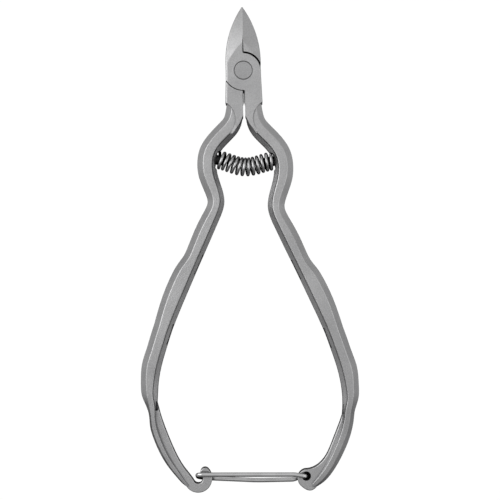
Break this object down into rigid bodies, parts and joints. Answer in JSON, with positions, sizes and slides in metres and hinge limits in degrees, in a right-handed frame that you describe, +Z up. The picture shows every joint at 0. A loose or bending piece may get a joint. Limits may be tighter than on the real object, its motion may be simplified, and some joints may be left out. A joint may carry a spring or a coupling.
{
  "type": "nail clipper",
  "caption": "Plier-style nail nipper: two curved steel levers on a half-lapped rivet joint, opened by a coil spring and held shut by a hinged wire keeper across the handle ends.",
  "frame": {"origin": "on the pivot axis, in the plane of the joint's back face, which the tool lies on", "axes": "+Y along the tool towards the tip of the jaws, +Z up out of the front face, +X towards the handle that carries the keeper"},
  "size_m": [0.063, 0.1401, 0.008],
  "materials": {
    "forged_steel": "bead-blasted satin stainless steel",
    "rivet_steel": "satin, ground flush",
    "spring_steel": "polished spring wire",
    "keeper_steel": "polished round wire"
  },
  "bodies": {
    "front_lever_body": {"front_lever": "forged_steel", "pivot_rivet": "rivet_steel", "spring_peg_right": "spring_steel", "barrel_spring": "spring_steel"},
    "rear_lever_body": {"rear_lever": "forged_steel", "spring_peg_left": "spring_steel"},
    "keeper_body": {"keeper_wire": "keeper_steel"}
  },
  "joints": [
    {"name": "jaw_pivot", "type": "hinge", "parent": "front_lever_body", "child": "rear_lever_body", "pos_m": [0, 0, 0.004], "axis": [0, 0, -1], "range_deg": [0, 15], "deforming": ["barrel_spring"]},
    {"name": "keeper_swing", "type": "hinge", "parent": "front_lever_body", "child": "keeper_body", "pos_m": [0.0155, -0.117, 0.004], "axis": [0, 0, -1], "range_deg": [0, 104]}
  ]
}
